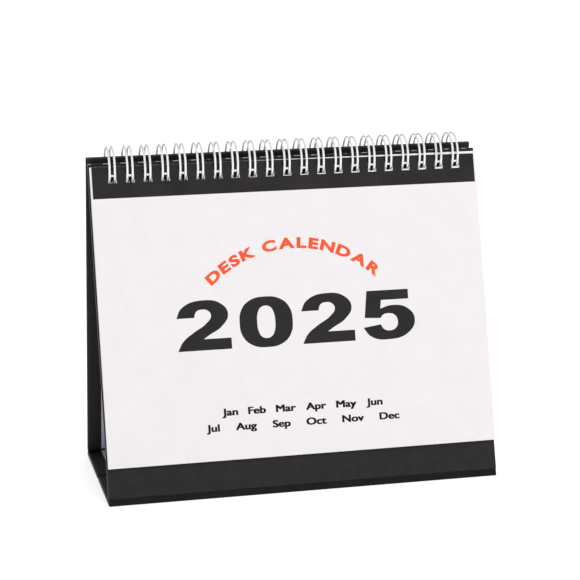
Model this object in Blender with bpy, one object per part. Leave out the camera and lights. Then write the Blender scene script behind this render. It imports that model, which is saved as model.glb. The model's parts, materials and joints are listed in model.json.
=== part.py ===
"""A flip desk calendar: a folding tent stand, a stack of leaves and the twin-loop wire that binds them.

Metres, +Z up. The origin is the middle of the stand's footprint on the desk. The leaves hang on the -Y side.
"""

import math

import bmesh
import bpy
from mathutils import Matrix, Vector

# Stand
STAND_WIDTH = 0.1914
STAND_DEPTH = 0.0891
PANEL_HEIGHT = 0.1648  # along the rear panel, from the desk to its top edge
FRONT_TOP_DROP = 0.0024  # how much lower the front panel stops
LEAN = math.radians(14.33)  # each panel, from upright
PANEL_FOOT = 0.0034  # the panels' lower edges stop this far up, where the wrap folds under
PANEL_THICKNESS = 0.0026  # wrap, board, wrap turned in and liner together
WRAP = 0.00025
LINER = 0.0002
GLUE_GAP = 0.0001
TURN_IN = 0.0075  # width of wrap folded over the board's inner edges
LINER_INSET = 0.007
LINER_TOP_INSET = 0.016  # the liner stops below the punched holes
LINER_FOOT_INSET = 0.0012  # it runs nearly to the inner corner between a panel and the base
CREASE_GAP = 0.003  # between the two halves of the base
BASE_SETBACK = 0.0012  # from the footprint's edge to a base half, behind the wrap that folds under
HINGE_FOOT = 0.0004  # the folded strip starts this far up the panel's plane
HINGE_GAP = 0.0001  # from the folded strip to the panel's lower edge

# Binding
LOOPS = 21
LOOP_PITCH = 0.0254 / 3
HOLE = 0.004
WIRE = 0.00105
RAIL_SPACING = 0.0025
RING_RADIUS = 0.010  # to the middle of the wire
RING_HEIGHT = 0.1548
RING_STEPS = 18
ROOT_ANGLE = math.radians(-3)  # from straight down, positive towards the leaves
TIP_ANGLE = math.radians(345)
ROOT_DROP = 0.0003  # the wire dips this far where it runs on to the next loop
ROOT_OVERHANG = 0.6 * WIRE  # how far it has turned towards that loop by then

# Leaves
LEAVES = 13
LEAF_WIDTH = 0.1904
LEAF_HEIGHT = 0.1422
LEAF_THICKNESS = 0.00011
LEAF_PITCH = 0.00015
FIRST_LEAF_GAP = 0.0013  # lets the last leaf swing past the panels' top corners
LEAF_TOP_TO_HOLE = 0.006
STACK_HOLE_DROP = 0.0107  # from the rear panel's height to the holes of a squared-up stack
WIRE_CLEARANCE = 0.00006  # between the wire and the edge of a hole that bears on it

PARTS = "flip_desk_calendar"
CUTTERS = "cutters"


def clear_scene():
    for obj in list(bpy.data.objects):
        bpy.data.objects.remove(obj)


def collection(name):
    made = bpy.data.collections.new(name)
    bpy.context.scene.collection.children.link(made)
    return made


def material(name, colour, roughness, metallic=0.0):
    made = bpy.data.materials.new(name)
    made.use_nodes = True
    shader = made.node_tree.nodes["Principled BSDF"]
    shader.inputs["Base Color"].default_value = (*colour, 1)
    shader.inputs["Roughness"].default_value = roughness
    shader.inputs["Metallic"].default_value = metallic
    return made


def ring_reach(offset):
    """How far below the ring centre's foot on a plane the ring crosses it, the plane being `offset` away."""
    return math.sqrt(RING_RADIUS**2 - offset**2)


def hole_play(offset):
    """How far a leaf's hole can shift up or down round the wire, which crosses it at a slant."""
    slant = ring_reach(offset) / RING_RADIUS
    flat_depth = RING_RADIUS * (1 - math.cos((TIP_ANGLE - ROOT_ANGLE) / RING_STEPS / 2))
    wire_edge = (WIRE / 2 + flat_depth + WIRE_CLEARANCE) / slant
    return HOLE / 2 - wire_edge - LEAF_THICKNESS / 2 * offset / ring_reach(offset)


def hole_positions():
    return [(i - (LOOPS - 1) / 2) * LOOP_PITCH for i in range(LOOPS)]


# The panel frame: x along the stand, y into the stand from the outer face, z up the panel from the desk.
FOOT_TO_RING = RING_HEIGHT * math.cos(LEAN) + STAND_DEPTH / 2 * math.sin(LEAN)
RING_TO_FACE = STAND_DEPTH / 2 * math.cos(LEAN) - RING_HEIGHT * math.sin(LEAN)
PANEL_BASE = PANEL_FOOT / math.cos(LEAN)
BOARD_MIDDLE = RING_TO_FACE - PANEL_THICKNESS / 2
BOARD_HOLE = FOOT_TO_RING - ring_reach(BOARD_MIDDLE)


def panel_frame(name, turned):
    """An empty on a panel's outer face at the desk, leaning as the panel does."""
    empty = bpy.data.objects.new(name, None)
    parts.objects.link(empty)
    lean = Matrix.Translation((0, -STAND_DEPTH / 2, 0)) @ Matrix.Rotation(-LEAN, 4, "X")
    empty.matrix_world = Matrix.Rotation(math.pi if turned else 0, 4, "Z") @ lean
    return empty


def base_frame(name, turned):
    """An empty at the middle of the footprint, with y from the crease out to the panel's foot."""
    empty = bpy.data.objects.new(name, None)
    parts.objects.link(empty)
    empty.matrix_world = Matrix.Rotation(0 if turned else math.pi, 4, "Z")
    return empty


def attach(obj, frame, surface):
    obj.parent = frame
    obj.data.materials.append(surface)
    return obj


def box(name, low, high, where):
    """A box with its corners at low and high."""
    mesh = bpy.data.meshes.new(name)
    shape = bmesh.new()
    bmesh.ops.create_cube(shape, size=1)
    size = Vector(high) - Vector(low)
    bmesh.ops.scale(shape, vec=size, verts=shape.verts)
    bmesh.ops.translate(shape, vec=(Vector(low) + Vector(high)) / 2, verts=shape.verts)
    shape.to_mesh(mesh)
    shape.free()
    obj = bpy.data.objects.new(name, mesh)
    where.objects.link(obj)
    return obj


def rectangle(spline_owner, x_low, x_high, y_low, y_high):
    spline = spline_owner.splines.new("POLY")
    spline.points.add(3)
    corners = ((x_low, y_low), (x_high, y_low), (x_high, y_high), (x_low, y_high))
    for point, (x, y) in zip(spline.points, corners):
        point.co = (x, y, 0, 1)
    spline.use_cyclic_u = True


def sheet(name, width, bottom, top, hole_height, near, thickness):
    """A flat sheet in a panel frame, from y = near inwards, punched where hole_height is given."""
    curve = bpy.data.curves.new(name, "CURVE")
    curve.dimensions = "2D"
    curve.fill_mode = "BOTH"
    curve.extrude = thickness / 2
    rectangle(curve, -width / 2, width / 2, bottom, top)
    if hole_height is not None:
        for x in hole_positions():
            rectangle(curve, x - HOLE / 2, x + HOLE / 2, hole_height - HOLE / 2, hole_height + HOLE / 2)
    obj = bpy.data.objects.new(name, curve)
    obj.location = (0, near + thickness / 2, 0)
    obj.rotation_euler = (math.pi / 2, 0, 0)
    parts.objects.link(obj)
    return obj


def cut(obj, cutter):
    cutter.hide_render = True
    cutter.display_type = "WIRE"
    modifier = obj.modifiers.new(f"cut_{cutter.name}", "BOOLEAN")
    modifier.operation = "DIFFERENCE"
    modifier.object = cutter


def punch(name, frame, hole_height):
    """The row of square punches for a panel's wrap, as one cutter."""
    mesh = bpy.data.meshes.new(name)
    shape = bmesh.new()
    for x in hole_positions():
        made = bmesh.ops.create_cube(shape, size=HOLE)
        bmesh.ops.translate(shape, vec=(x, 0, hole_height), verts=made["verts"])
    shape.to_mesh(mesh)
    shape.free()
    obj = bpy.data.objects.new(name, mesh)
    cutters.objects.link(obj)
    obj.parent = frame
    return obj


def wrap(name, frame, bottom, top, near, outward):
    """Cover paper folded round a board: an outer sheet, four edges and a narrow turn-in on the inner side.

    The panel frame's y runs inwards from the outer face. A base frame's z runs upwards from the desk, and
    `outward` says which of the two this is.
    """
    half = STAND_WIDTH / 2
    depth = PANEL_THICKNESS - LINER - GLUE_GAP

    def corners(inset, low, high):
        if outward == "y":
            return (-half + inset, low, bottom + inset), (half - inset, high, top - inset)
        return (-half + inset, bottom + inset, low), (half - inset, top - inset, high)

    outer = box(name, *corners(0, near, near + depth), parts)
    hollow = box(f"{name}_hollow", *corners(WRAP, near + WRAP, near + depth - WRAP), cutters)
    window = box(f"{name}_window", *corners(TURN_IN, near + depth / 2, near + 2 * depth), cutters)
    for cutter in (hollow, window):
        cutter.parent = frame
        cut(outer, cutter)
    return outer


def build_panel(side, turned, height):
    """One leaning panel: its board, wrap and liner."""
    frame = panel_frame(f"{side}_panel_frame", turned)
    skin = WRAP + GLUE_GAP
    liner_near = PANEL_THICKNESS - LINER

    cover = attach(wrap(f"{side}_panel_wrap", frame, PANEL_BASE, height, 0, "y"), frame, wrap_paper)
    cut(cover, punch(f"{side}_punch", frame, BOARD_HOLE))

    board_depth = PANEL_THICKNESS - LINER - GLUE_GAP - 2 * skin
    board = sheet(f"{side}_panel_board", STAND_WIDTH - 2 * skin, PANEL_BASE + skin, height - skin,
                  BOARD_HOLE, skin, board_depth)
    attach(board, frame, greyboard)

    liner = sheet(f"{side}_panel_liner", STAND_WIDTH - 2 * LINER_INSET, PANEL_BASE + LINER_FOOT_INSET,
                  PANEL_HEIGHT - LINER_TOP_INSET, None, liner_near, LINER)
    attach(liner, frame, liner_paper)
    return frame


def build_base_half(side, turned):
    """Half of the folding base, lying on the desk between the crease and the foot of its panel."""
    frame = base_frame(f"{side}_base_frame", turned)
    skin = WRAP + GLUE_GAP
    half = STAND_WIDTH / 2
    inner = CREASE_GAP / 2
    outer = STAND_DEPTH / 2 - BASE_SETBACK

    attach(wrap(f"{side}_base_wrap", frame, inner, outer, 0, "z"), frame, wrap_paper)

    top = PANEL_THICKNESS - LINER - GLUE_GAP - skin
    low = (-half + skin, inner + skin, skin)
    high = (half - skin, outer - skin, top)
    attach(box(f"{side}_base_board", low, high, parts), frame, greyboard)

    reach = outer - LINER_FOOT_INSET
    low = (-half + LINER_INSET, inner + WRAP, PANEL_THICKNESS - LINER)
    high = (half - LINER_INSET, reach, PANEL_THICKNESS)
    attach(box(f"{side}_base_liner", low, high, parts), frame, liner_paper)


def build_foot_hinge(side, frame):
    """The strip of wrap that bends under from a panel to the base, in the panel's plane."""
    width = STAND_WIDTH - 2 * WRAP
    strip = sheet(f"{side}_foot_hinge", width, HINGE_FOOT, PANEL_BASE - HINGE_GAP, None, 0, WRAP)
    attach(strip, frame, wrap_paper)


def build_leaf(name, frame, order):
    """A leaf on the wire, as square with the stack as its holes allow. Order 0 is next to the panel."""
    back = FIRST_LEAF_GAP + order * LEAF_PITCH
    offset = RING_TO_FACE + back + LEAF_THICKNESS / 2
    crossing = FOOT_TO_RING - ring_reach(offset)
    play = hole_play(offset)
    hole = min(max(PANEL_HEIGHT - STACK_HOLE_DROP, crossing - play), crossing + play)
    top = hole + LEAF_TOP_TO_HOLE
    leaf = sheet(name, LEAF_WIDTH, top - LEAF_HEIGHT, top, hole, -back - LEAF_THICKNESS, LEAF_THICKNESS)
    attach(leaf, frame, leaf_paper)


def ring_point(x, angle, drop=0.0):
    """A point on the ring, its angle measured from straight down towards the leaves."""
    reach = RING_RADIUS + drop
    return (x, -reach * math.sin(angle), RING_HEIGHT - reach * math.cos(angle))


def wire_route():
    """One wire: up each loop's first rail, round its tip, back down its second, then on to the next."""
    angles = [ROOT_ANGLE + (TIP_ANGLE - ROOT_ANGLE) * i / RING_STEPS for i in range(RING_STEPS + 1)]
    route = []
    for middle in hole_positions():
        left = middle - RAIL_SPACING / 2
        right = middle + RAIL_SPACING / 2
        route.append(ring_point(left - ROOT_OVERHANG, ROOT_ANGLE, ROOT_DROP))
        route.extend(ring_point(left, angle) for angle in angles[1:])
        route.extend(ring_point(right, angle) for angle in reversed(angles[1:]))
        route.append(ring_point(right + ROOT_OVERHANG, ROOT_ANGLE, ROOT_DROP))
    return route


def build_wire():
    curve = bpy.data.curves.new("binding_wire", "CURVE")
    curve.dimensions = "3D"
    curve.bevel_depth = WIRE / 2
    curve.bevel_resolution = 1
    curve.use_fill_caps = True
    route = wire_route()
    spline = curve.splines.new("POLY")
    spline.points.add(len(route) - 1)
    for point, place in zip(spline.points, route):
        point.co = (*place, 1)
    obj = bpy.data.objects.new("binding_wire", curve)
    obj.data.materials.append(white_wire)
    parts.objects.link(obj)


clear_scene()
parts = collection(PARTS)
cutters = collection(CUTTERS)

wrap_paper = material("wrap_paper", (0.022, 0.022, 0.024), 0.7)
greyboard = material("greyboard", (0.30, 0.28, 0.25), 0.9)
liner_paper = material("liner_paper", (0.80, 0.79, 0.84), 0.8)
leaf_paper = material("leaf_paper", (0.89, 0.87, 0.88), 0.6)
white_wire = material("white_wire", (0.86, 0.86, 0.85), 0.35)

front = build_panel("front", turned=False, height=PANEL_HEIGHT - FRONT_TOP_DROP)
rear = build_panel("rear", turned=True, height=PANEL_HEIGHT)
build_base_half("front", turned=False)
build_base_half("rear", turned=True)
build_foot_hinge("front", front)
build_foot_hinge("rear", rear)
build_leaf("cover_leaf", front, LEAVES - 1)
for month in range(1, LEAVES):
    build_leaf(f"month_{month:02d}_leaf", front, LEAVES - 1 - month)
build_wire()
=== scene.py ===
"""The looks of a flip desk calendar: wrapped board stand, twin-loop wire, printed leaves, and a studio."""

import calendar
import json
import math

import bmesh
import bpy
from bpy.props import FloatProperty, FloatVectorProperty, IntProperty, PointerProperty
from mathutils import Matrix, Vector


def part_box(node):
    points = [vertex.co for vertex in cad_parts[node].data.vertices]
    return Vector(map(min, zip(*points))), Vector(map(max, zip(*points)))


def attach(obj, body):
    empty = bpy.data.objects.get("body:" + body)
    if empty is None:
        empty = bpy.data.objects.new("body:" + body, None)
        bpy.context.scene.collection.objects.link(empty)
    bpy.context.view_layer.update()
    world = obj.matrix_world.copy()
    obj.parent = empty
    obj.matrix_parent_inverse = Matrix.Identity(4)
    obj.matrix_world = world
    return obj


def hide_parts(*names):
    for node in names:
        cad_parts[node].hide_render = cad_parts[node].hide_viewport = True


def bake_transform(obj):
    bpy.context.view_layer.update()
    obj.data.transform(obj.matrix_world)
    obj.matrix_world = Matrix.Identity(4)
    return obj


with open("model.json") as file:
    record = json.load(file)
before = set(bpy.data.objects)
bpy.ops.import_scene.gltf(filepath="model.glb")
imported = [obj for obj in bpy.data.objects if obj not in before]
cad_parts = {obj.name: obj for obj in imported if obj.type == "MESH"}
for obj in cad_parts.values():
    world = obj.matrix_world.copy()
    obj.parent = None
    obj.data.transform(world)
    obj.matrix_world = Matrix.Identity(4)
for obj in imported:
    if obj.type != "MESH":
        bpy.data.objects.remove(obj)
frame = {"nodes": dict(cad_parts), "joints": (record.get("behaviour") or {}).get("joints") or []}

bl_info = {
    "name": "Flip Desk Calendar",
    "version": (1, 0, 0),
    "blender": (4, 5, 0),
    "location": "3D View > Sidebar > Calendar",
    "description": "Builds the finished pieces of a wire-bound desk calendar around its packed frame",
    "category": "Object",
}

MM = 0.001
INCH = 0.0254
MONTHS = 12
PAGE_YEAR = 2025
FRONT, REAR = -1, 1
SIDE_NAME = {FRONT: "front", REAR: "rear"}


# ---------------- places read from the frame

def outward_normal(node, side):
    """The outward normal of a node's largest face on one side of the calendar, FRONT or REAR."""
    faces = [f for f in frame["nodes"][node].data.polygons if f.normal.y * side > 0.5]
    return max(faces, key=lambda f: f.area).normal.copy()


def panel_space(side):
    """Panel space: x along the stand, y into it from a panel's outer face, z up the panel from the desk."""
    name = f"{SIDE_NAME[side]}_panel_wrap"
    outward = outward_normal(name, side)
    reach = max(v.co.dot(outward) for v in frame["nodes"][name].data.vertices)
    across = Vector((-side, 0, 0))
    up = across.cross(-outward)
    turn = Matrix((across, -outward, up)).transposed().to_4x4()
    return Matrix.Translation((0, reach / outward.y, 0)) @ turn


def local_box(node, space):
    """A node's lowest and highest corners in the given space."""
    inverse = space.inverted()
    points = [inverse @ v.co for v in frame["nodes"][node].data.vertices]
    low = Vector(min(p[i] for p in points) for i in range(3))
    high = Vector(max(p[i] for p in points) for i in range(3))
    return low, high


SPACE = {FRONT: panel_space(FRONT), REAR: panel_space(REAR)}
RING_CENTRE = Vector(next(j["pos_m"] for j in frame["joints"] if j["name"] == "rear_panel_close"))
WIRE_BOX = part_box("binding_wire")
LOOP_PITCH = INCH / 3
LOOPS = round((WIRE_BOX[1].x - WIRE_BOX[0].x) / LOOP_PITCH)
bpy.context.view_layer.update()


def loop_places():
    """The middle of each loop along the stand."""
    return [(i - (LOOPS - 1) / 2) * LOOP_PITCH for i in range(LOOPS)]


# ---------------- settings

class StandSettings(bpy.types.PropertyGroup):
    """The wrapped boards."""

    edge_round: FloatProperty(
        name="Edge rounding", description="Radius that the paper gives a board's edges", default=0.55 * MM,
        unit="LENGTH")
    wrap_colour: FloatVectorProperty(
        name="Wrap", description="Colour of the cover paper", default=(0.0082, 0.0078, 0.0078, 1),
        subtype="COLOR", size=4)
    foot_colour: FloatVectorProperty(
        name="Foot", description="Colour of the wrap where it folds under",
        default=(0.0042, 0.0032, 0.0026, 1), subtype="COLOR", size=4)
    scuff_colour: FloatVectorProperty(
        name="Scuffs", description="Bare paper where the loops rub the top edge",
        default=(0.62, 0.60, 0.56, 1), subtype="COLOR", size=4)
    liner_colour: FloatVectorProperty(
        name="Liner", description="Colour of the paper inside the stand", default=(0.57, 0.54, 0.655, 1),
        subtype="COLOR", size=4)
    core_colour: FloatVectorProperty(
        name="Board core", description="Colour of the board in the punched holes",
        default=(0.02, 0.018, 0.017, 1), subtype="COLOR", size=4)


class WireSettings(bpy.types.PropertyGroup):
    """The twin-loop wire."""

    gauge: FloatProperty(
        name="Wire", description="Diameter of the coated wire", default=1.05 * MM, unit="LENGTH")
    spacing: FloatProperty(
        name="Rail spacing", description="Between the two rails of a loop", default=2.5 * MM, unit="LENGTH")
    splay: FloatProperty(
        name="Splay", description="How much wider a loop is at its root", default=0.3 * MM, unit="LENGTH")
    steps: IntProperty(name="Steps", description="Straight pieces in each rail", default=48)
    colour: FloatVectorProperty(
        name="Coating", description="Colour of the wire's coating", default=(0.93, 0.93, 0.92, 1),
        subtype="COLOR", size=4)


class LeafSettings(bpy.types.PropertyGroup):
    """The paper leaves and what is printed on them."""

    paper: FloatVectorProperty(
        name="Paper", description="Colour of the card", default=(0.90, 0.862, 0.88, 1), subtype="COLOR",
        size=4)
    band: FloatVectorProperty(
        name="Band", description="Colour of the printed band along the wire",
        default=(0.0165, 0.0145, 0.0152, 1), subtype="COLOR", size=4)
    ink: FloatVectorProperty(
        name="Ink", description="Colour of the dark print", default=(0.010, 0.0092, 0.0092, 1),
        subtype="COLOR", size=4)
    accent: FloatVectorProperty(
        name="Accent", description="Colour of the arched heading", default=(0.86, 0.09, 0.02, 1),
        subtype="COLOR", size=4)
    band_height: FloatProperty(
        name="Band height", description="From the leaf's top edge", default=15.2 * MM, unit="LENGTH")
    hole: FloatProperty(
        name="Hole", description="Width and height of a punched hole", default=4 * MM, unit="LENGTH")
    hole_drop: FloatProperty(
        name="Hole drop", description="From a leaf's top edge to the middle of its holes", default=6 * MM,
        unit="LENGTH")
    lift: FloatProperty(
        name="Print lift", description="How far the print stands off the paper", default=0.012 * MM,
        unit="LENGTH")


class StageSettings(bpy.types.PropertyGroup):
    """The camera and the light."""

    focal_share: FloatProperty(
        name="Lens", description="Focal length as a share of the sensor's width", default=3.24)
    place: FloatVectorProperty(
        name="Camera", description="Where the camera stands", default=(-0.1934, -0.8881, 0.2773),
        subtype="TRANSLATION", size=3)
    turn: FloatVectorProperty(
        name="Turn", description="Yaw to the right, pitch down and roll of the camera",
        default=(0.2173, 0.2033, -0.0141), subtype="EULER", size=3)
    floor: FloatVectorProperty(
        name="Floor", description="Colour of the floor", default=(0.93, 0.93, 0.93, 1), subtype="COLOR",
        size=4)
    floor_glow: FloatProperty(
        name="Floor glow", description="Light that a lit table gives off by itself", default=0.68)
    sky: FloatProperty(name="Sky", description="Strength of the even light from all round", default=0.42)
    backdrop: FloatProperty(
        name="Backdrop", description="How bright the space past the floor looks", default=1.0)
    key: FloatProperty(name="Key", description="Power of the main lamp", default=12.5)


# ---------------- modelling helpers

def deselect():
    if bpy.context.object and bpy.context.object.mode != "OBJECT":
        bpy.ops.object.mode_set(mode="OBJECT")
    bpy.ops.object.select_all(action="DESELECT")


def pick(obj):
    deselect()
    obj.select_set(True)
    bpy.context.view_layer.objects.active = obj


def start_box(name, low, high):
    """A box primitive between two corners, its scale applied, left selected."""
    deselect()
    low, high = Vector(low), Vector(high)
    bpy.ops.mesh.primitive_cube_add(size=1, location=(low + high) / 2)
    obj = bpy.context.object
    obj.name = obj.data.name = name
    obj.scale = high - low
    bpy.ops.object.transform_apply(location=True, rotation=True, scale=True)
    return obj


def select_in_edit(obj, mode, wanted):
    """Enters edit mode with only the edges or faces that `wanted` accepts selected."""
    pick(obj)
    bpy.ops.object.mode_set(mode="EDIT")
    bpy.ops.mesh.select_mode(type=mode)
    bpy.ops.mesh.select_all(action="DESELECT")
    mesh = bmesh.from_edit_mesh(obj.data)
    for part in (mesh.edges if mode == "EDGE" else mesh.faces):
        if wanted(part):
            part.select_set(True)
    bmesh.update_edit_mesh(obj.data)


def round_edges(obj, offset, segments, wanted=lambda edge: True):
    select_in_edit(obj, "EDGE", wanted)
    bpy.ops.mesh.bevel(offset=offset, segments=segments, affect="EDGES")
    bpy.ops.object.mode_set(mode="OBJECT")


def apply_modifiers(obj):
    pick(obj)
    for modifier in list(obj.modifiers):
        bpy.ops.object.modifier_apply(modifier=modifier.name)


def combine(obj, other, operation, material_mode="INDEX"):
    """Applies a Boolean with another piece, which is then removed."""
    modifier = obj.modifiers.new("combine", "BOOLEAN")
    modifier.operation = operation
    modifier.object = other
    modifier.material_mode = material_mode
    apply_modifiers(obj)
    bpy.data.objects.remove(other)


def smooth(obj, degrees=35):
    pick(obj)
    bpy.ops.object.shade_smooth_by_angle(angle=math.radians(degrees))


def settle(obj, matrix):
    """Puts the piece in its place and applies it, so that its object stays at the origin."""
    pick(obj)
    obj.matrix_world = matrix @ obj.matrix_world
    bpy.ops.object.transform_apply(location=True, rotation=True, scale=True)
    return obj


def join(objects, name):
    deselect()
    for obj in objects:
        obj.select_set(True)
    bpy.context.view_layer.objects.active = objects[0]
    bpy.ops.object.join()
    objects[0].name = objects[0].data.name = name
    return objects[0]


def clean_normals(obj):
    pick(obj)
    bpy.ops.object.mode_set(mode="EDIT")
    bpy.ops.mesh.select_all(action="SELECT")
    bpy.ops.mesh.remove_doubles(threshold=1e-6)
    bpy.ops.mesh.normals_make_consistent(inside=False)
    bpy.ops.object.mode_set(mode="OBJECT")


def paint(obj, *materials):
    obj.data.materials.clear()
    for material in materials:
        obj.data.materials.append(material)


# ---------------- shader helpers and groups

def feed(tree, target, values):
    """Links the sockets among the values to the node's inputs of those names, and sets the constants."""
    for key, value in values.items():
        socket = target.inputs[key]
        if isinstance(value, bpy.types.NodeSocket):
            tree.links.new(value, socket)
        else:
            socket.default_value = value


def node(tree, kind, inputs=None, **settings):
    made = tree.nodes.new(f"ShaderNode{kind}")
    for key, value in settings.items():
        setattr(made, key, value)
    feed(tree, made, inputs or {})
    return made


def maths(tree, operation, *values, clamp=False):
    return node(tree, "Math", dict(enumerate(values)), operation=operation, use_clamp=clamp).outputs[0]


def plus(tree, a, b):
    return maths(tree, "ADD", a, b)


def minus(tree, a, b):
    return maths(tree, "SUBTRACT", a, b)


def times(tree, a, b):
    return maths(tree, "MULTIPLY", a, b)


def ramp(tree, value, low, high, to_low=0.0, to_high=1.0):
    """A value moved from the range low to high to the range to_low to to_high, and held at its ends."""
    limits = {"Value": value, "From Min": low, "From Max": high, "To Min": to_low, "To Max": to_high}
    return node(tree, "MapRange", limits).outputs["Result"]


def noise(tree, place, scale, detail=2.0):
    """A noise pattern from 0 to 1, with `scale` lumps to the metre."""
    return node(tree, "TexNoise", {"Vector": place, "Scale": scale, "Detail": detail}).outputs["Fac"]


def mix_colour(tree, factor, a, b):
    return node(tree, "Mix", {0: factor, 6: a, 7: b}, data_type="RGBA").outputs[2]


def scale_colour(colour, share):
    return [c * share for c in colour[:3]] + [1]


def bump(tree, height, distance):
    return node(tree, "Bump", {"Height": height, "Distance": distance}).outputs[0]


def new_group(name, inputs, outputs):
    """An empty shader group with its input and output nodes. An input is a name, a kind and a default."""
    group = bpy.data.node_groups.new(name, "ShaderNodeTree")
    for label, kind, value in inputs:
        socket = group.interface.new_socket(name=label, in_out="INPUT", socket_type=f"NodeSocket{kind}")
        if value is not None:
            socket.default_value = value
    for label in outputs:
        group.interface.new_socket(name=label, in_out="OUTPUT", socket_type="NodeSocketFloat")
    return group, group.nodes.new("NodeGroupInput"), group.nodes.new("NodeGroupOutput")


def fibre_group():
    """Paper fibres: a soft cloud, short crossed strands and fine tooth."""
    inputs = [("Vector", "Vector", None), ("Scale", "Float", 1.0)]
    group, source, sink = new_group("paper_fibre", inputs, ("Tone", "Height"))
    taken = {0: source.outputs["Vector"], "Scale": source.outputs["Scale"]}
    place = node(group, "VectorMath", taken, operation="SCALE").outputs[0]
    cloud_scale, strand_scale, tooth_scale = 90.0, 420.0, 2600.0
    strand_share, other_share = 0.4, 0.6
    strands = []
    for stretch in ((1.0, 6.0, 6.0), (6.0, 1.0, 1.0)):
        turned = node(group, "Mapping", {"Vector": place, "Scale": stretch}).outputs[0]
        strands.append(noise(group, turned, strand_scale))
    crossed = times(group, maths(group, "MAXIMUM", *strands), strand_share)
    cloud = times(group, noise(group, place, cloud_scale, detail=3.0), other_share)
    tooth = times(group, noise(group, place, tooth_scale), other_share)
    feed(group, sink, {"Tone": plus(group, cloud, crossed), "Height": plus(group, tooth, crossed)})
    return group


def grain_group():
    """The cover paper's pressed grain: rounded pebbles, finer dimples, and pale specks on their crowns."""
    group, source, sink = new_group("wrap_grain", [("Vector", "Vector", None)], ("Tone", "Height", "Specks"))
    place = source.outputs["Vector"]
    mottle_scale, crown_scale, warp_scale, pebble_scale, dimple_scale = 150.0, 620.0, 700.0, 1500.0, 3300.0
    warp_share, dimple_share = 0.0006, 0.5
    warp = node(group, "TexNoise", {"Vector": place, "Scale": warp_scale}).outputs["Color"]
    bent = node(group, "MixRGB", {0: warp_share, 1: place, 2: warp}).outputs[0]
    pebbles = node(group, "TexVoronoi", {"Vector": bent, "Scale": pebble_scale}, feature="SMOOTH_F1")
    crowns = node(group, "TexVoronoi", {"Vector": bent, "Scale": crown_scale})
    dimples = times(group, noise(group, bent, dimple_scale, detail=3.0), dimple_share)
    feed(group, sink, {
        "Tone": noise(group, bent, mottle_scale, detail=4.0),
        "Height": minus(group, dimples, pebbles.outputs["Distance"]),
        "Specks": ramp(group, crowns.outputs["Distance"], 0.22, 0.06),
    })
    return group


def rim_group():
    """How near a point is to a board's outline: 1 on the rim, 0 from `Reach` inwards, broken up by noise."""
    group, source, sink = new_group(
        "rim_wear_and_highlight",
        [("Across", "Float", 0.0), ("Up", "Float", 0.0), ("Noise", "Float", 0.5),
         ("Half Width", "Float", 0.1), ("Low", "Float", 0.0), ("High", "Float", 0.1),
         ("Reach", "Float", 0.001)],
        ("Mask",),
    )
    take = source.outputs
    side = minus(group, take["Half Width"], maths(group, "ABSOLUTE", take["Across"]))
    top = minus(group, take["High"], take["Up"])
    foot = minus(group, take["Up"], take["Low"])
    nearest = maths(group, "MINIMUM", side, maths(group, "MINIMUM", top, foot))
    uneven = times(group, take["Reach"], ramp(group, take["Noise"], 0.3, 0.7, 0.1, 1.5))
    share = maths(group, "DIVIDE", nearest, uneven)
    feed(group, sink, {"Mask": maths(group, "SUBTRACT", 1.0, share, clamp=True)})
    return group


GROUP_MAKERS = {"paper_fibre": fibre_group, "wrap_grain": grain_group, "rim_wear_and_highlight": rim_group}
GROUPS = {}


def group_node(tree, name, inputs):
    """The outputs of a shared shader group, which is built the first time that a material asks for it."""
    if name not in GROUPS:
        GROUPS[name] = GROUP_MAKERS[name]()
    made = tree.nodes.new("ShaderNodeGroup")
    made.node_tree = GROUPS[name]
    feed(tree, made, inputs)
    return made.outputs


def new_material(name):
    material = bpy.data.materials.new(name)
    material.use_nodes = True
    tree = material.node_tree
    return material, tree, tree.nodes["Principled BSDF"]


def object_place(tree, space=None):
    """Object coordinates, or the same turned into a flat space, so that z runs up the sheet."""
    place = node(tree, "TexCoord").outputs["Object"]
    if space is None:
        return place
    inverse = space.inverted()
    turn = {"Vector": place, "Rotation": inverse.to_euler(), "Location": inverse.to_translation()}
    return node(tree, "Mapping", turn).outputs[0]


# ---------------- materials

def wrap_material(name, space, low, high):
    """Black grained cover paper. Its rim is painted paler where the paper turns over the board's edge: partly
    rubbed wear, partly a painted highlight of the rounded edge.
    """
    look = bpy.context.scene.calendar_stand
    material, tree, shader = new_material(name)
    place = object_place(tree, space)
    across, inward, up = node(tree, "SeparateXYZ", {0: place}).outputs
    grain = group_node(tree, "wrap_grain", {"Vector": place})
    tone = grain["Tone"]
    standing = high.z - low.z > high.y - low.y
    along, bottom, top = (up, low.z, high.z) if standing else (inward, low.y, high.y)
    outline = {"Half Width": high.x, "Low": bottom, "High": top, "Reach": 0.9 * MM}
    rim = group_node(tree, "rim_wear_and_highlight", {"Across": across, "Up": along, "Noise": tone, **outline})["Mask"]
    dark = look.wrap_colour
    mottled, pale_tone, speck = (scale_colour(dark, share) for share in (1.7, 3.2, 4.2))
    colour = mix_colour(tree, ramp(tree, tone, 0.35, 0.65), dark, mottled)
    colour = mix_colour(tree, times(tree, grain["Specks"], 0.35), colour, speck)
    # The rim mixed towards a paler tone: partly rubbed wear, partly a painted highlight of the light that the
    # rounded edge catches.
    colour = mix_colour(tree, times(tree, rim, 0.45), colour, pale_tone)
    if name.startswith(SIDE_NAME[FRONT] + "_wrap"):
        colour = mix_colour(tree, loop_scuffs(tree, across, up, tone, high.z), colour, look.scuff_colour)
        colour = mix_colour(tree, times(tree, corner_crease(tree, across, up, low, high), 0.5), colour, pale_tone)
    roughness = plus(tree, 0.52, times(tree, tone, 0.22))
    feed(tree, shader, {
        "Base Color": colour,
        "Roughness": minus(tree, roughness, times(tree, rim, 0.12)),
        "Specular IOR Level": 0.3,
        "Normal": bump(tree, grain["Height"], 0.07 * MM),
    })
    return material


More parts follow.
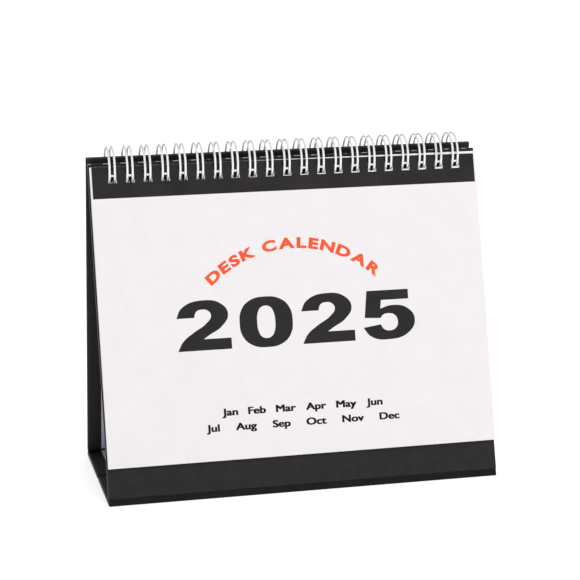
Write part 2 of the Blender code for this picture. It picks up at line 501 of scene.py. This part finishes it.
def loop_scuffs(tree, across, up, tone, top):
    """Where each loop has rubbed the paper off the panel's top edge, just to the left of its rails."""
    middle, no_scuff, full_scuff = 0.22, 0.19, 0.13
    phase = maths(tree, "FRACT", plus(tree, maths(tree, "DIVIDE", across, LOOP_PITCH), LOOPS + 0.5))
    beside = ramp(tree, maths(tree, "ABSOLUTE", minus(tree, phase, middle)), no_scuff, full_scuff)
    edge = ramp(tree, up, top - 0.45 * MM, top - 0.33 * MM)
    return times(tree, times(tree, beside, edge), ramp(tree, tone, 0.42, 0.5))


def corner_crease(tree, across, up, low, high):
    """The pale line where the wrap's corner was folded over, rising to the panel's lower right edge."""
    length, climb, start = 7 * MM, 2.2 * MM, 0.5 * MM
    run = maths(tree, "DIVIDE", minus(tree, across, high.x - length), length)
    rise = times(tree, maths(tree, "POWER", maths(tree, "MAXIMUM", run, 0.0), 2.0), climb)
    gap = maths(tree, "ABSOLUTE", minus(tree, up, plus(tree, rise, low.z + start)))
    return times(tree, ramp(tree, gap, 0.32 * MM, 0.12 * MM), ramp(tree, run, 0.0, 0.3))


def foot_material(name):
    """The cover paper where it folds under: stretched smoother, browner and darker than on the boards."""
    look = bpy.context.scene.calendar_stand
    material, tree, shader = new_material(name)
    grain = group_node(tree, "wrap_grain", {"Vector": object_place(tree)})
    dark = look.foot_colour
    mottled = mix_colour(tree, ramp(tree, grain["Tone"], 0.4, 0.65), dark, scale_colour(dark, 1.8))
    feed(tree, shader, {
        "Base Color": mix_colour(tree, times(tree, grain["Specks"], 0.02), mottled, look.scuff_colour),
        "Roughness": 0.7,
        "Specular IOR Level": 0.2,
        "Normal": bump(tree, grain["Height"], 0.04 * MM),
    })
    return material


def core_material(name):
    """The cut edge of the board, dark and fibrous."""
    dark = bpy.context.scene.calendar_stand.core_colour
    material, tree, shader = new_material(name)
    fibre = group_node(tree, "paper_fibre", {"Vector": object_place(tree)})
    feed(tree, shader, {
        "Base Color": mix_colour(tree, ramp(tree, fibre["Tone"], 0.4, 0.7), dark, scale_colour(dark, 2.5)),
        "Roughness": 0.92,
        "Normal": bump(tree, fibre["Height"], 0.08 * MM),
    })
    return material


def paper_colour(tree, shader, place, colour, grain_scale, roughness, specular, depth):
    """Sets the sheen and the tooth of a paper, and returns its colour before any print."""
    fibre = group_node(tree, "paper_fibre", {"Vector": place, "Scale": grain_scale})
    feed(tree, shader, {
        "Roughness": plus(tree, roughness - 0.08, times(tree, fibre["Tone"], 0.16)),
        "Specular IOR Level": specular,
        "Normal": bump(tree, fibre["Height"], depth),
    })
    return mix_colour(tree, ramp(tree, fibre["Tone"], 0.35, 0.7), scale_colour(colour, 0.955), colour)


def liner_material(name):
    """The pale, soft paper inside the stand."""
    look = bpy.context.scene.calendar_stand
    material, tree, shader = new_material(name)
    colour = paper_colour(tree, shader, object_place(tree), look.liner_colour, grain_scale=0.8, roughness=0.8,
                          specular=0.25, depth=0.02 * MM)
    feed(tree, shader, {"Base Color": colour})
    return material


def leaf_material(name, leaf, banded):
    """Coated card, with the dark strip along the wire if the leaf is banded."""
    look = bpy.context.scene.calendar_leaf
    material, tree, shader = new_material(name)
    place = object_place(tree, SPACE[FRONT])
    colour = paper_colour(tree, shader, place, look.paper, grain_scale=1.0, roughness=0.55, specular=0.15,
                          depth=0.006 * MM)
    if banded:
        colour = band_print(tree, place, *local_box(leaf, SPACE[FRONT]), colour)
    feed(tree, shader, {"Base Color": colour})
    return material


def band_print(tree, place, low, high, paper):
    """The dark strip over the paper's colour, on the front face, a little askew inside the cut edges."""
    look = bpy.context.scene.calendar_leaf
    left_margin, right_margin, askew, straight_until = 0.75 * MM, 0.95 * MM, 1.15 * MM, -22 * MM
    ragged_by, blur = 0.12 * MM, 0.05 * MM
    across, inward, up = node(tree, "SeparateXYZ", {0: place}).outputs
    drop = times(tree, ramp(tree, across, straight_until, high.x), askew)
    nearest = minus(tree, minus(tree, high.z, drop), up)
    for edge in (minus(tree, up, high.z - look.band_height), minus(tree, across, low.x + left_margin),
                 minus(tree, high.x - right_margin, across)):
        nearest = maths(tree, "MINIMUM", nearest, edge)
    ragged = times(tree, minus(tree, noise(tree, place, 5200.0), 0.5), ragged_by)
    inside = maths(tree, "MULTIPLY", plus(tree, nearest, ragged), 1 / blur, clamp=True)
    front_face = maths(tree, "LESS_THAN", inward, low.y + (high.y - low.y) / 5)
    cloud = ramp(tree, noise(tree, place, 60.0, 3.0), 0.35, 0.7)
    ink = mix_colour(tree, cloud, look.band, scale_colour(look.band, 1.5))
    return mix_colour(tree, times(tree, inside, front_face), paper, ink)


def ink_material(name, colour):
    """Printed ink: nearly flat, a little paler where the paper's fibres show through."""
    material, tree, shader = new_material(name)
    fibre = group_node(tree, "paper_fibre", {"Vector": object_place(tree)})
    pale = [min(c * 1.35 + 0.004, 1) for c in colour[:3]] + [1]
    feed(tree, shader, {
        "Base Color": mix_colour(tree, ramp(tree, fibre["Tone"], 0.4, 0.8), colour, pale),
        "Roughness": plus(tree, 0.45, times(tree, fibre["Height"], 0.15)),
        "Specular IOR Level": 0.25,
        "Normal": bump(tree, fibre["Height"], 0.005 * MM),
    })
    return material


def wire_material(name):
    """White nylon coating, faintly uneven, with rubbed marks."""
    coating = bpy.context.scene.calendar_wire.colour
    material, tree, shader = new_material(name)
    place = object_place(tree)
    marks = noise(tree, place, 240.0, 5.0)
    feed(tree, shader, {
        "Base Color": mix_colour(tree, ramp(tree, marks, 0.55, 0.75), coating, scale_colour(coating, 0.82)),
        "Roughness": plus(tree, 0.24, times(tree, marks, 0.2)),
        "Coat Weight": 0.25,
        "Coat Roughness": 0.2,
        "Normal": bump(tree, noise(tree, place, 900.0), 0.015 * MM),
    })
    return material


MATERIALS = {}


def shared(maker, name, *values):
    """A material that several pieces have, made once."""
    if name not in MATERIALS:
        MATERIALS[name] = maker(name, *values)
    return MATERIALS[name]


# ---------------- the stand

def hole_row(side, low, high):
    """One cutter with a rounded square punch for each loop, in panel space, through the panel's thickness."""
    board = f"{SIDE_NAME[side]}_panel_board"
    board_low, board_high = local_box(board, SPACE[side])
    inverse = SPACE[side].inverted()
    points = [inverse @ v.co for v in frame["nodes"][board].data.vertices]
    rims = [p for p in points if board_low.z + MM < p.z < board_high.z - MM]
    across = [p.x for p in rims if abs(p.x) < LOOP_PITCH / 2]
    up = [p.z for p in rims]
    punches = []
    for x in loop_places():
        punch = start_box("punch", (x + min(across), low.y - MM, min(up)),
                          (x + max(across), high.y + MM, max(up)))
        round_edges(punch, 0.5 * MM, 3, lambda edge: abs(edge.verts[0].co.y - edge.verts[1].co.y) > MM)
        punches.append(punch)
    return join(punches, f"{SIDE_NAME[side]}_punches")


def panel_cover(side):
    """A board in its wrap: rounded rims, a turned-in border, the liner's bed inside it, and the holes."""
    name = SIDE_NAME[side]
    turn_in, bed_slope, bed_depth = 6.6 * MM, 0.25 * MM, 0.12 * MM
    low, high = local_box(f"{name}_panel_wrap", SPACE[side])
    cover = start_box(f"{name}_panel_cover", low, high)
    round_edges(cover, bpy.context.scene.calendar_stand.edge_round, 4)
    select_in_edit(cover, "FACE", lambda face: face.normal.y > 0.99)
    bpy.ops.mesh.inset(thickness=turn_in, depth=0)
    bpy.ops.mesh.inset(thickness=bed_slope, depth=-bed_depth)
    bpy.ops.object.mode_set(mode="OBJECT")
    core = shared(core_material, "board_core")
    paint(cover, wrap_material(f"{name}_wrap_paper", SPACE[side], low, high), core)
    punches = hole_row(side, low, high)
    paint(punches, core)
    combine(cover, punches, "DIFFERENCE", "TRANSFER")
    settle(cover, SPACE[side])
    smooth(cover)
    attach(cover, f"{name}_panel")
    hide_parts(f"{name}_panel_wrap", f"{name}_panel_board")


def base_cover(side):
    """Half the base in its wrap, with the thin lip of paper that runs to the crease."""
    name = SIDE_NAME[side]
    end_inset, lip_foot, lip_top, overlap, crease_gap = (n * MM for n in (0.3, 0.02, 0.55, 0.8, 0.12))
    low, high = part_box(f"{name}_base_wrap")
    cover = start_box(f"{name}_base_cover", low, high)
    round_edges(cover, bpy.context.scene.calendar_stand.edge_round, 4)
    reach = (high.y - overlap, -crease_gap) if side == FRONT else (crease_gap, low.y + overlap)
    lip = start_box(f"{name}_lip", (low.x + end_inset, reach[0], lip_foot),
                    (high.x - end_inset, reach[1], lip_top))
    round_edges(lip, 0.12 * MM, 2)
    combine(cover, lip, "UNION")
    paint(cover, wrap_material(f"{name}_base_paper", Matrix.Identity(4), low, high))
    smooth(cover)
    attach(cover, f"{name}_base")
    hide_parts(f"{name}_base_wrap", f"{name}_base_board")


# The fold's way down: how far each point is above the panel's lower edge, and how far in from its outer face.
FOLD_STEPS = ((0.9, 0.06), (0.2, 0.04), (-0.35, 0.3), (-0.9, 0.34), (-1.6, 0.2))
FOLD_RADIUS = 0.45 * MM


def foot_profile(side):
    """The fold of wrap from a panel's lower edge to the base, as (y, z) points from top to bottom."""
    low, _ = local_box(f"{SIDE_NAME[side]}_panel_wrap", SPACE[side])
    base_low, base_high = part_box(f"{SIDE_NAME[side]}_base_wrap")

    def on_face(up, inward):
        point = SPACE[side] @ Vector((0, inward, up))
        return point.y, point.z

    points = [on_face(low.z + up * MM, inward * MM) for up, inward in FOLD_STEPS]
    corner_y = on_face(FOLD_RADIUS, 0)[0] - side * (FOLD_RADIUS + 0.08 * MM)
    corner_z = FOLD_RADIUS + 0.06 * MM
    for step in range(7):
        angle = math.radians(95 * step / 6 - 5)
        outward, down = FOLD_RADIUS * math.cos(angle), FOLD_RADIUS * math.sin(angle)
        points.append((corner_y + side * outward, corner_z - down))
    edge = base_low.y if side == FRONT else base_high.y
    points.append((edge - side * 0.35 * MM, 0.05 * MM))
    return points


def foot_hinge(side):
    """The strip of cover paper that bends under from a panel to the base."""
    name = SIDE_NAME[side]
    columns, thickness = 24, 0.25 * MM
    low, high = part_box(f"{name}_foot_hinge")
    profile = foot_profile(side)
    deselect()
    bpy.ops.mesh.primitive_plane_add(size=1)
    strip = bpy.context.object
    strip.name = strip.data.name = f"{name}_foot_fold"
    shape = bmesh.new()
    ends = [shape.verts.new((low.x, y, z)) for y, z in profile]
    for a, b in zip(ends, ends[1:]):
        shape.edges.new((a, b))
    shape.to_mesh(strip.data)
    shape.free()
    pick(strip)
    bpy.ops.object.mode_set(mode="EDIT")
    bpy.ops.mesh.select_all(action="SELECT")
    move = ((high.x - low.x) / columns, 0, 0)
    for _ in range(columns):
        bpy.ops.mesh.extrude_region_move(TRANSFORM_OT_translate={"value": move})
    bpy.ops.mesh.select_all(action="SELECT")
    bpy.ops.mesh.normals_make_consistent(inside=False)
    bpy.ops.object.mode_set(mode="OBJECT")
    if sum(face.normal.y * side for face in strip.data.polygons) < 0:
        strip.data.flip_normals()
    modifier = strip.modifiers.new("paper", "SOLIDIFY")
    modifier.thickness = thickness
    modifier.offset = -1
    apply_modifiers(strip)
    paint(strip, shared(foot_material, "foot_paper"))
    smooth(strip, 50)
    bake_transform(strip)
    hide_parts(f"{name}_foot_hinge")


class CALENDAR_OT_panels(bpy.types.Operator):
    """Build the front and rear boards in their wrap"""

    bl_idname = "calendar.panels"
    bl_label = "Panels"

    def execute(self, context):
        for side in SPACE:
            panel_cover(side)
        return {"FINISHED"}


class CALENDAR_OT_base(bpy.types.Operator):
    """Build the two halves of the folding base"""

    bl_idname = "calendar.base"
    bl_label = "Base"

    def execute(self, context):
        for side in SPACE:
            base_cover(side)
        return {"FINISHED"}


class CALENDAR_OT_foot_folds(bpy.types.Operator):
    """Build the folds of paper between the panels and the base"""

    bl_idname = "calendar.foot_folds"
    bl_label = "Foot folds"

    def execute(self, context):
        for side in SPACE:
            foot_hinge(side)
        return {"FINISHED"}


class CALENDAR_OT_liners(bpy.types.Operator):
    """Give the liners inside the stand their paper"""

    bl_idname = "calendar.liners"
    bl_label = "Liners"

    def execute(self, context):
        for name in ("front_panel", "rear_panel", "front_base", "rear_base"):
            paint(frame["nodes"][f"{name}_liner"], shared(liner_material, "liner_paper"))
        return {"FINISHED"}


# ---------------- the wire

LOOP_START, LOOP_END, LOOP_ROOT = (math.radians(degrees) for degrees in (5, 348, -3))
TIP_NARROWING = 0.92


def ring_point(x, angle, reach):
    """A point on the ring, its angle measured from straight down towards the leaves."""
    return Vector((x, RING_CENTRE.y - reach * math.sin(angle), RING_CENTRE.z - reach * math.cos(angle)))


def rail_offset(look, angle):
    """Half the space between a loop's rails: widest at the root, even over the top, narrower at the tip."""
    splay_ends, tip_begins, tip_ends = (math.radians(degrees) for degrees in (75, 172.5, 345))
    root = max(0.0, 1 - angle / splay_ends) ** 0.7
    tip = max(0.0, angle - tip_begins) / (tip_ends - tip_begins)
    return look.spacing / 2 * (1 - (1 - TIP_NARROWING) * tip) + look.splay / 2 * root


def loop_route(middle, look, reach):
    """Up and over one rail, round the tip in a half turn, and back down the other rail."""
    tip_half = look.spacing / 2 * TIP_NARROWING
    tip_steps = 8
    turn = tip_half / reach
    route = []
    for step in range(look.steps + 1):
        angle = LOOP_START + (LOOP_END - turn - LOOP_START) * step / look.steps
        route.append((-rail_offset(look, angle), angle))
    back = [(-x, angle) for x, angle in reversed(route)]
    for step in range(1, tip_steps):
        around = math.pi * step / tip_steps
        route.append((-tip_half * math.cos(around), LOOP_END - turn + turn * math.sin(around)))
    return [ring_point(middle + x, angle, reach) for x, angle in route + back]


def build_wire():
    look = bpy.context.scene.calendar_wire
    reach = WIRE_BOX[1].z - RING_CENTRE.z - look.gauge / 2
    corner = 0.55 * MM
    half = rail_offset(look, LOOP_START)
    route = []
    for middle in loop_places():
        entry = [ring_point(middle - half - corner * share, LOOP_ROOT * turn, reach)
                 for share, turn in ((1, 1), (0.35, 0.7), (0.05, 0))]
        leave = [Vector((2 * middle - p.x, p.y, p.z)) for p in reversed(entry)]
        route += entry + loop_route(middle, look, reach) + leave
    deselect()
    curve = bpy.data.curves.new("binding_wire_coated", "CURVE")
    curve.dimensions = "3D"
    curve.bevel_depth = look.gauge / 2
    curve.bevel_resolution = 3
    curve.use_fill_caps = True
    spline = curve.splines.new("POLY")
    spline.points.add(len(route) - 1)
    for point, place in zip(spline.points, route):
        point.co = (*place, 1)
    wire = bpy.data.objects.new("binding_wire_coated", curve)
    bpy.context.scene.collection.objects.link(wire)
    pick(wire)
    bpy.ops.object.convert(target="MESH")
    wire = bpy.context.object
    clean_normals(wire)
    smooth(wire, 60)
    paint(wire, wire_material("coated_wire"))
    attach(wire, "front_panel")
    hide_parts("binding_wire")


class CALENDAR_OT_wire(bpy.types.Operator):
    """Build the twin-loop wire"""

    bl_idname = "calendar.wire"
    bl_label = "Wire"

    def execute(self, context):
        build_wire()
        return {"FINISHED"}


# ---------------- print

def page_space(body):
    """Page space: x across the leaf from its middle, y up the leaf from its top edge, z off the paper."""
    low, high = local_box(f"{body}_leaf", SPACE[FRONT])
    lift = bpy.context.scene.calendar_leaf.lift
    to_page = Matrix.Translation((0, low.y - lift, high.z)) @ Matrix.Rotation(math.pi / 2, 4, "X")
    return SPACE[FRONT] @ to_page


def flat_mesh(curve_object):
    """A flat curve or text as a mesh, with its place applied."""
    pick(curve_object)
    bpy.ops.object.convert(target="MESH")
    made = bpy.context.object
    bpy.ops.object.transform_apply(location=True, rotation=True, scale=True)
    return made


CAPITAL_SHARE = 0.72


def lettering(words, height, place, stretch=1.0, weight=0.0, align="CENTER"):
    """Words as a flat mesh, `height` being the height of a capital, centred on or starting from `place`."""
    deselect()
    bpy.ops.object.text_add(location=(*place, 0))
    text = bpy.context.object
    text.data.body = words
    text.data.align_x = align
    text.data.size = height / CAPITAL_SHARE
    text.data.offset = weight * text.data.size
    text.data.resolution_u = 5
    text.scale = (stretch, 1, 1)
    return flat_mesh(text)


def bold_word(word, height, place, stretch, thicken):
    """A small word made bold by shifted copies, because thickening its outline crosses its fine strokes."""
    copies = []
    for step in (-1, -0.35, 0.35, 1):
        for sign in (-1, 1):
            spot = (place[0] + (step + 1) * thicken, place[1] + thicken * 0.45 * sign)
            copies.append(lettering(word, height, spot, stretch, align="LEFT"))
    return join(copies, "word")


def words_line(words, height, foot, width, thicken):
    """Words as one centred line of the given width, with equal gaps between them."""
    made = [bold_word(word, height, (0, foot), 1.3, thicken) for word in words]
    gap = (width - sum(word.dimensions.x for word in made)) / (len(made) - 1)
    left = -width / 2
    for word in made:
        start = min(v.co.x for v in word.data.vertices)
        settle(word, Matrix.Translation((left - start, 0, 0)))
        left += word.dimensions.x + gap
    return join(made, "line")


def outline_spline(curve, points, width, height, left, foot):
    """A closed outline of corners and smooth points, as shares of a character's width and height."""
    spline = curve.splines.new("BEZIER")
    spline.bezier_points.add(len(points) - 1)
    for point, (x, y, kind) in zip(spline.bezier_points, points):
        point.co = (left + x * width, foot + y * height, 0)
        point.handle_left_type = point.handle_right_type = kind
    spline.use_cyclic_u = True


def oval(width, height, squareness=2.4, count=12):
    """A squarish oval centred on the character, as smooth points."""
    points = []
    for i in range(count):
        angle = 2 * math.pi * i / count
        c, s = math.cos(angle), math.sin(angle)
        x = math.copysign(abs(c) ** (2 / squareness), c) * width / 2
        y = math.copysign(abs(s) ** (2 / squareness), s) * height / 2
        points.append((0.5 + x, 0.5 + y, "AUTO"))
    return points


# The outlines of the year's numerals. C is a corner and S a smooth point.
C, S = "VECTOR", "AUTO"
TWO = [(0.00, 0.665, C), (0.11, 0.875, S), (0.50, 1.01, S), (0.86, 0.91, S), (0.965, 0.70, S),
       (0.84, 0.47, S), (0.60, 0.305, S), (0.485, 0.225, C), (1.00, 0.225, C), (1.00, 0.0, C),
       (0.0, 0.0, C), (0.10, 0.19, S), (0.31, 0.37, S), (0.54, 0.53, S), (0.645, 0.69, S),
       (0.60, 0.79, S), (0.485, 0.825, S), (0.375, 0.785, S), (0.33, 0.665, C)]
FIVE = [(0.10, 1.0, C), (0.90, 1.0, C), (0.90, 0.80, C), (0.37, 0.80, C), (0.345, 0.625, C),
        (0.58, 0.685, S), (0.88, 0.60, S), (1.0, 0.36, S), (0.86, 0.10, S), (0.48, -0.015, S),
        (0.14, 0.06, S), (0.0, 0.25, C), (0.335, 0.30, C), (0.39, 0.205, S), (0.50, 0.165, S),
        (0.63, 0.22, S), (0.67, 0.345, S), (0.62, 0.475, S), (0.50, 0.52, S), (0.40, 0.50, S),
        (0.335, 0.43, C), (0.035, 0.45, C)]
NUMERALS = {"0": [oval(1.0, 1.03), oval(0.34, 0.66)], "2": [TWO], "5": [FIVE]}


def big_numerals(digits, width, gap, height, foot):
    """Heavy extended numerals in a centred row."""
    curve = bpy.data.curves.new("year_numerals", "CURVE")
    curve.dimensions = "2D"
    curve.fill_mode = "BOTH"
    curve.resolution_u = 10
    span = len(digits) * width + (len(digits) - 1) * gap
    for place, digit in enumerate(digits):
        left = place * (width + gap) - span / 2
        for outline in NUMERALS[digit]:
            outline_spline(curve, outline, width, height, left, foot)
    obj = bpy.data.objects.new("year_numerals", curve)
    bpy.context.scene.collection.objects.link(obj)
    return flat_mesh(obj)


def arched(words, height, radius, crown, half_angle):
    """Capitals on an arc whose baseline peaks at `crown`, spaced evenly by their own widths."""
    letters = {place: lettering(c, height, (0, 0), stretch=1.45, weight=0.05, align="LEFT")
               for place, c in enumerate(words) if c != " "}
    widths = [letters[i].dimensions.x if i in letters else height * 0.45 for i in range(len(words))]
    gap = (2 * half_angle * radius - sum(widths)) / (len(words) - 1)
    run = -half_angle * radius
    for place, width in enumerate(widths):
        if place in letters:
            angle = (run + width / 2) / radius
            left = min(v.co.x for v in letters[place].data.vertices)
            spot = Vector((radius * math.sin(angle), crown - radius * (1 - math.cos(angle)), 0))
            centred = Matrix.Translation((-left - width / 2, 0, 0))
            settle(letters[place], Matrix.Translation(spot) @ Matrix.Rotation(-angle, 4, "Z") @ centred)
        run += width + gap
    return join(list(letters.values()), "arched_heading")


def finish_print(obj, name, body, ink="dark_ink"):
    """Names the print, gives it its ink and puts it on its leaf."""
    look = bpy.context.scene.calendar_leaf
    obj.name = name
    paint(obj, shared(ink_material, ink, look.accent if ink == "accent_ink" else look.ink))
    settle(obj, page_space(body))
    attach(obj, body)


def cover_print():
    """The cover's year, its arched heading, and the months' names in two lines."""
    year = big_numerals(str(PAGE_YEAR), width=26.0 * MM, gap=4.4 * MM, height=23.6 * MM, foot=-89.6 * MM)
    finish_print(year, "cover_year", "cover")
    heading = arched("DESK CALENDAR", height=4.9 * MM, radius=59 * MM, crown=-42.9 * MM,
                     half_angle=math.radians(43.5))
    finish_print(heading, "cover_heading", "cover", "accent_ink")
    names = [calendar.month_abbr[m] for m in range(1, MONTHS + 1)]
    lines = [words_line(part, height=3.4 * MM, foot=foot * MM, width=width * MM, thicken=0.25 * MM)
             for part, foot, width in ((names[:6], -121.2, 79), (names[6:], -128.4, 95))]
    finish_print(join(lines, "cover_months"), "cover_months", "cover")


def rule(x_low, x_high, y_low, y_high):
    """A thin printed rule as a flat rectangle."""
    deselect()
    bpy.ops.mesh.primitive_plane_add(size=1, location=((x_low + x_high) / 2, (y_low + y_high) / 2, 0))
    line = bpy.context.object
    line.scale = (x_high - x_low, y_high - y_low, 1)
    bpy.ops.object.transform_apply(location=True, rotation=True, scale=True)
    return line


def month_print(month):
    """A month's page: its name, weekday heads, ruled grid and day numbers."""
    half, top, row, head, title_foot = (n * MM for n in (84, -44, 14.5, 6, -33))
    days_in_week = 7
    column = 2 * half / days_in_week
    half_line = 0.06 * MM
    weeks = calendar.Calendar(firstweekday=calendar.SUNDAY).monthdayscalendar(PAGE_YEAR, month)
    foot = top - head - row * len(weeks)
    parts = [bold_word(calendar.month_name[month], 7 * MM, (-half, title_foot), 1.25, 0.16 * MM),
             lettering(str(PAGE_YEAR), 5 * MM, (half, title_foot), stretch=1.2, align="RIGHT")]
    for i in range(days_in_week + 1):
        x = -half + i * column
        parts.append(rule(x - half_line, x + half_line, foot, top))
    for y in [top] + [top - head - i * row for i in range(len(weeks) + 1)]:
        parts.append(rule(-half, half, y - half_line, y + half_line))
    for i in range(days_in_week):
        words = calendar.day_abbr[(i + calendar.SUNDAY) % days_in_week]
        parts.append(lettering(words, 2.2 * MM, (-half + (i + 0.5) * column, top - head * 0.7)))
    for week, days in enumerate(weeks):
        for i, day in enumerate(days):
            if day:
                place = (-half + i * column + 1.6 * MM, top - head - week * row - 4.6 * MM)
                parts.append(lettering(str(day), 3 * MM, place, weight=0.012, align="LEFT"))
    name = f"month_{month:02d}"
    finish_print(join(parts, f"{name}_print"), f"{name}_print", name)


def hole_rims():
    """White paper of the leaves behind, inside the cover's holes, because the stack isn't quite square."""
    half = bpy.context.scene.calendar_leaf.hole / 2
    low, high = local_box("cover_leaf", SPACE[FRONT])
    hole = high.z - bpy.context.scene.calendar_leaf.hole_drop
    half_wire, above_wire, below_wire = 0.66 * MM, 1.05 * MM, -0.65 * MM
    left_sliver, least_foot, front_gap, rear_gap = 0.28 * MM, 0.1 * MM, 0.03 * MM, 0.02 * MM
    bars = []
    for place, x in enumerate(loop_places()):
        drift = place / (LOOPS - 1)
        side = 0.30 * MM + 0.42 * MM * max(0.0, drift - 0.3)
        foot = 0.9 * MM * max(0.0, drift - 0.25) / 0.75
        spans = [(-half_wire, half_wire, above_wire, half), (half - side, half, -half, below_wire),
                 (-half, -half + left_sliver, -half + 0.3 * MM, below_wire)]
        if foot > least_foot:
            spans.append((-half, half, -half, -half + foot))
        for left, right, bottom, top in spans:
            bars.append(start_box("rim", (x + left, low.y + front_gap, hole + bottom),
                                  (x + right, high.y - rear_gap, hole + top)))
    rims = join(bars, "cover_hole_rims")
    settle(rims, SPACE[FRONT])
    paint(rims, shared(leaf_material, "leaf_card", "month_01_leaf", False))
    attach(rims, "cover")


class CALENDAR_OT_leaves(bpy.types.Operator):
    """Give the thirteen leaves their card and the cover its band"""

    bl_idname = "calendar.leaves"
    bl_label = "Leaves"

    def execute(self, context):
        paint(frame["nodes"]["cover_leaf"], leaf_material("cover_card", "cover_leaf", True))
        plain = shared(leaf_material, "leaf_card", "month_01_leaf", False)
        for month in range(1, MONTHS + 1):
            paint(frame["nodes"][f"month_{month:02d}_leaf"], plain)
        hole_rims()
        return {"FINISHED"}


class CALENDAR_OT_cover_print(bpy.types.Operator):
    """Print the cover"""

    bl_idname = "calendar.cover_print"
    bl_label = "Cover print"

    def execute(self, context):
        cover_print()
        return {"FINISHED"}


class CALENDAR_OT_month_prints(bpy.types.Operator):
    """Print the twelve month leaves"""

    bl_idname = "calendar.month_prints"
    bl_label = "Month prints"

    def execute(self, context):
        for month in range(1, MONTHS + 1):
            month_print(month)
        return {"FINISHED"}


# ---------------- the stage

def floor_material(name):
    """A pale table that is lit from below."""
    look = bpy.context.scene.calendar_stage
    material, tree, shader = new_material(name)
    cloud = noise(tree, object_place(tree), 6.0)
    feed(tree, shader, {
        "Base Color": mix_colour(tree, cloud, scale_colour(look.floor, 0.985), look.floor),
        "Emission Color": look.floor,
        "Emission Strength": look.floor_glow,
        "Roughness": 0.9,
        "Specular IOR Level": 0.1,
    })
    return material


# Each lamp's name, its place, the height it aims at above the origin, its width, and its share of the power.
LAMPS = (("key", (0.55, -1.5, 1.3), 0.08, 1.2, 1.0), ("fill", (-0.8, -1.3, 0.9), 0.08, 1.4, 0.12),
         ("back", (0.3, 1.4, 1.3), 0.1, 1.2, 0.5))


def area_light(name, place, aim_height, size, power):
    light = bpy.data.lights.new(name, "AREA")
    light.shape = "DISK"
    light.size = size
    light.energy = power
    obj = bpy.data.objects.new(name, light)
    obj.location = place
    aim = Vector((0, 0, aim_height)) - Vector(place)
    obj.rotation_euler = aim.to_track_quat("-Z", "Y").to_euler()
    bpy.context.scene.collection.objects.link(obj)


def camera_turn(yaw, pitch, roll):
    ahead = Vector((math.sin(yaw) * math.cos(pitch), math.cos(yaw) * math.cos(pitch), -math.sin(pitch)))
    level = Vector((math.cos(yaw), -math.sin(yaw), 0))
    above = level.cross(ahead)
    right = level * math.cos(roll) + above * math.sin(roll)
    up = above * math.cos(roll) - level * math.sin(roll)
    return Matrix((right, up, -ahead)).transposed().to_4x4()


def build_world(look):
    """Even light from all round, which the camera sees as a white backdrop."""
    world = bpy.data.worlds.new("studio")
    world.use_nodes = True
    tree = world.node_tree
    seen = node(tree, "LightPath").outputs["Is Camera Ray"]
    strength = ramp(tree, seen, 0.0, 1.0, look.sky, look.backdrop)
    feed(tree, tree.nodes["Background"], {"Color": (1, 1, 1, 1), "Strength": strength})
    return world


class CALENDAR_OT_stage(bpy.types.Operator):
    """Set the floor, the light and the camera"""

    bl_idname = "calendar.stage"
    bl_label = "Stage"

    def execute(self, context):
        look = context.scene.calendar_stage
        deselect()
        bpy.ops.mesh.primitive_plane_add(size=12)
        floor = context.object
        floor.name = "studio_floor"
        paint(floor, floor_material("studio_floor"))
        context.scene.world = build_world(look)
        for name, place, aim_height, size, share in LAMPS:
            area_light(name, place, aim_height, size, look.key * share)
        lens = bpy.data.cameras.new("camera")
        lens.sensor_width = 36
        lens.lens = look.focal_share * lens.sensor_width
        camera = bpy.data.objects.new("camera", lens)
        camera.matrix_world = Matrix.Translation(look.place) @ camera_turn(*look.turn)
        context.scene.collection.objects.link(camera)
        context.scene.camera = camera
        context.scene.view_settings.view_transform = "Standard"
        return {"FINISHED"}


# ---------------- the panel and the run

STEPS = (CALENDAR_OT_stage, CALENDAR_OT_panels, CALENDAR_OT_base, CALENDAR_OT_foot_folds,
         CALENDAR_OT_liners, CALENDAR_OT_wire, CALENDAR_OT_leaves, CALENDAR_OT_cover_print,
         CALENDAR_OT_month_prints)


class CALENDAR_PT_sidebar(bpy.types.Panel):
    """The calendar's steps"""

    bl_label = "Desk Calendar"
    bl_space_type = "VIEW_3D"
    bl_region_type = "UI"
    bl_category = "Calendar"

    def draw(self, context):
        for step in STEPS:
            self.layout.operator(step.bl_idname)


SETTINGS = (("calendar_stand", StandSettings), ("calendar_wire", WireSettings),
            ("calendar_leaf", LeafSettings), ("calendar_stage", StageSettings))


def register():
    for name, group in SETTINGS:
        bpy.utils.register_class(group)
        setattr(bpy.types.Scene, name, PointerProperty(type=group))
    for step in STEPS:
        bpy.utils.register_class(step)
    bpy.utils.register_class(CALENDAR_PT_sidebar)


def unregister():
    bpy.utils.unregister_class(CALENDAR_PT_sidebar)
    for step in reversed(STEPS):
        bpy.utils.unregister_class(step)
    for name, group in reversed(SETTINGS):
        delattr(bpy.types.Scene, name)
        bpy.utils.unregister_class(group)


def main():
    register()
    bpy.ops.calendar.stage()
    bpy.ops.calendar.panels()
    bpy.ops.calendar.base()
    bpy.ops.calendar.foot_folds()
    bpy.ops.calendar.liners()
    bpy.ops.calendar.wire()
    bpy.ops.calendar.leaves()
    bpy.ops.calendar.cover_print()
    bpy.ops.calendar.month_prints()
    deselect()


if __name__ == "__main__":
    main()
